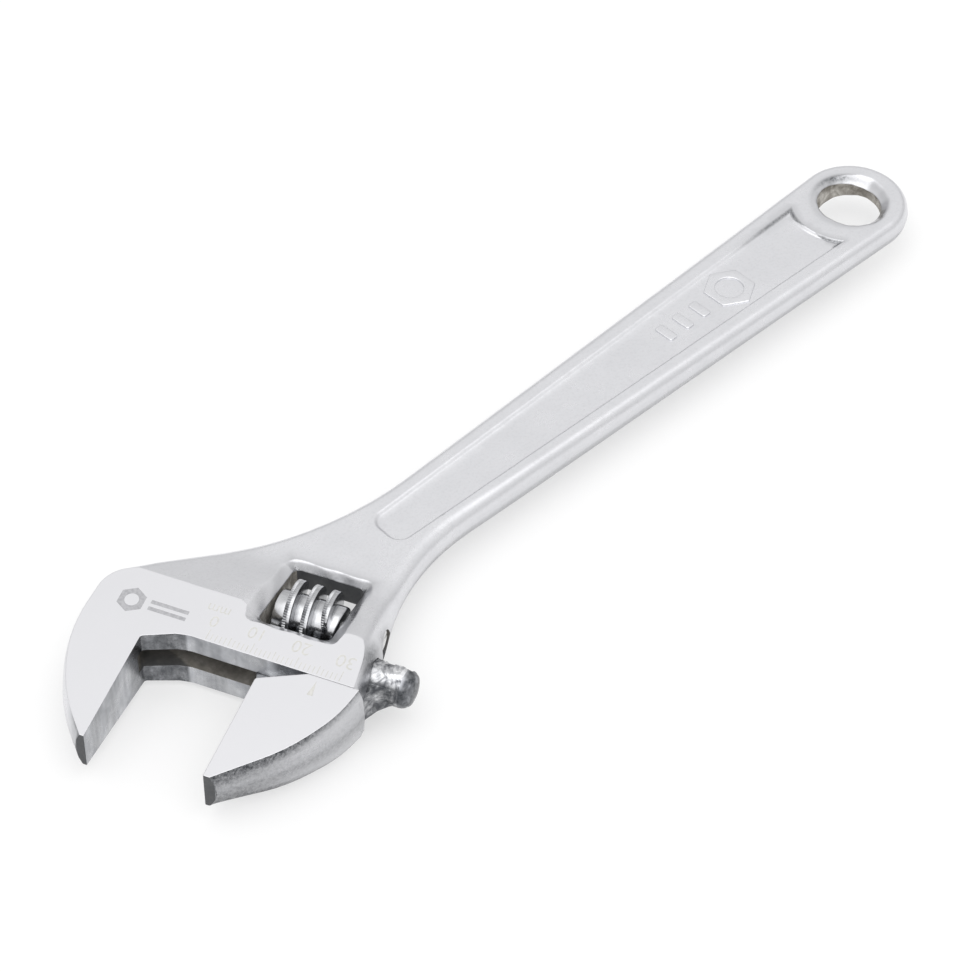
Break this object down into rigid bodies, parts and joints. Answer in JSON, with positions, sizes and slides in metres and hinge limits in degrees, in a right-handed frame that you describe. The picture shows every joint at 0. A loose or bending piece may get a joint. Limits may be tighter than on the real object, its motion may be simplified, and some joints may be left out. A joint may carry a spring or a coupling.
{
  "type": "adjustable wrench",
  "caption": "Adjustable wrench with a forged handle, an angled head with a millimetre scale, and a sliding jaw set by a worm screw.",
  "frame": {"origin": "middle of the whole tool's outline, at the height of its lowest point as it lies on one broad side", "axes": "+X along the handle towards the jaws, +Z square to the broad faces, +Y to the movable jaw's side"},
  "size_m": [0.2476, 0.0652, 0.0174],
  "materials": {
    "forging": "satin chrome plate on a shot-blasted forging, with ground faces",
    "jaw": "satin chrome plate, ground faces, darker shank",
    "worm": "bright plated, knurled thread",
    "pin": "dark machined steel",
    "spring": "drawn wire",
    "marking": "etched grey marking"
  },
  "bodies": {
    "body": {"body": "forging", "pin": "pin", "spring": "spring"},
    "jaw": {"jaw": "jaw"},
    "worm": {"worm": "worm"}
  },
  "joints": [
    {"name": "jaw_slide", "type": "slide", "parent": "body", "child": "jaw", "axis": [-0.3907, 0.9205, 0], "range_m": [-0.0266, 0.0033]},
    {"name": "worm_spin", "type": "hinge", "parent": "body", "child": "worm", "pos_m": [0.06672, 0.00244, 0.00871], "axis": [-0.3907, 0.9205, 0], "range_deg": [-300, 2400]}
  ],
  "couplings": [
    {"joint": "worm_spin", "follows": "jaw_slide", "rad_per_m": -1570.8}
  ]
}
